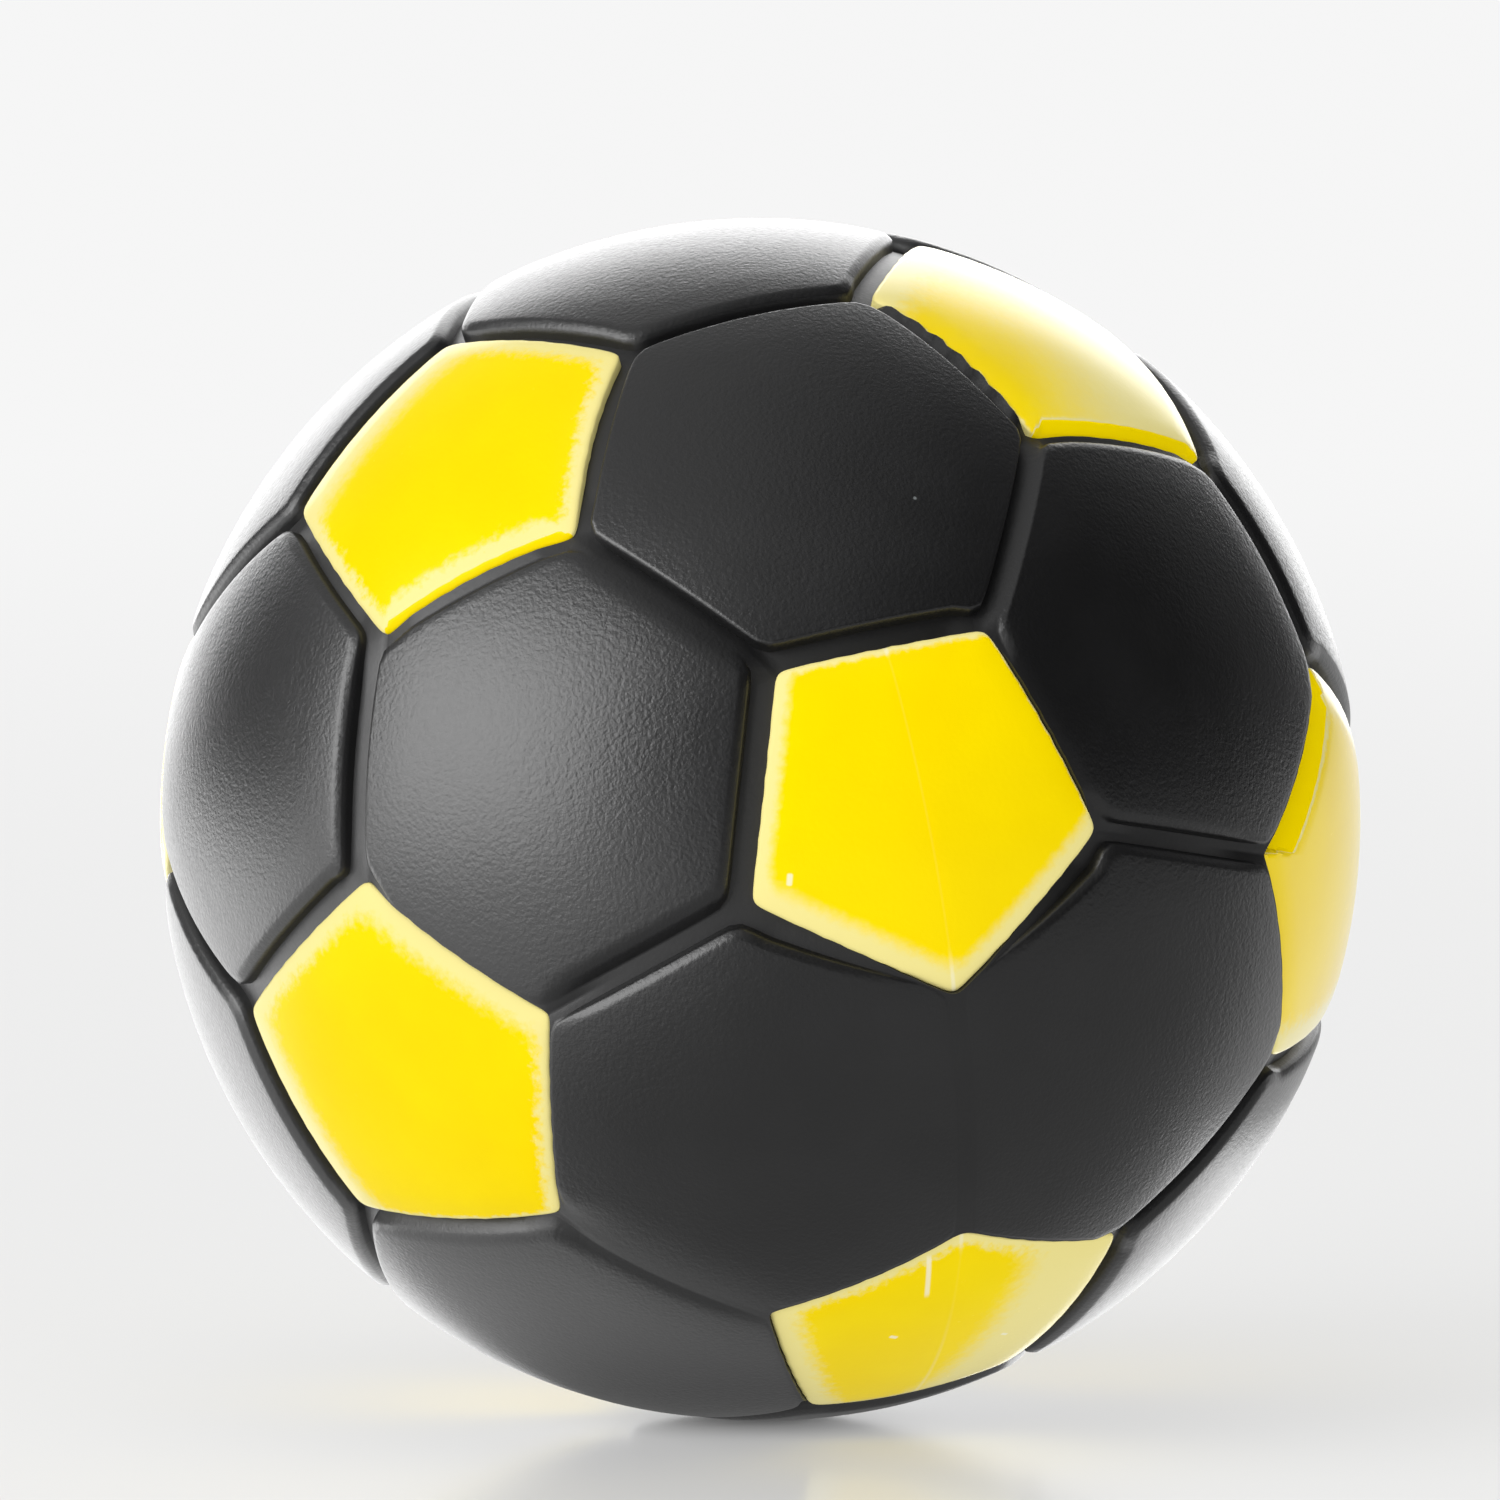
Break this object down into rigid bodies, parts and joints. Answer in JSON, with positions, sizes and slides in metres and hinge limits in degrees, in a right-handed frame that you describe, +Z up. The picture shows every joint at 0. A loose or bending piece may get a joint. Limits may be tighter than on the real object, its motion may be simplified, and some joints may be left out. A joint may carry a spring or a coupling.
{
  "type": "table football ball",
  "caption": "Solid moulded table-football ball with a grooved pentagon and hexagon pattern: a black skin over a yellow core whose pads show through its windows.",
  "frame": {"origin": "centre of the ball", "axes": "+Z up as the ball lies in the picture, -Z through the point it rests on, -Y towards the picture's viewer"},
  "size_m": [0.035, 0.035, 0.035],
  "materials": {
    "black_plastic": "satin black moulded plastic with a fine grain",
    "yellow_plastic": "glossy yellow moulded plastic"
  },
  "bodies": {
    "root": {"black_skin": "black_plastic", "yellow_core": "yellow_plastic"}
  },
  "joints": []
}
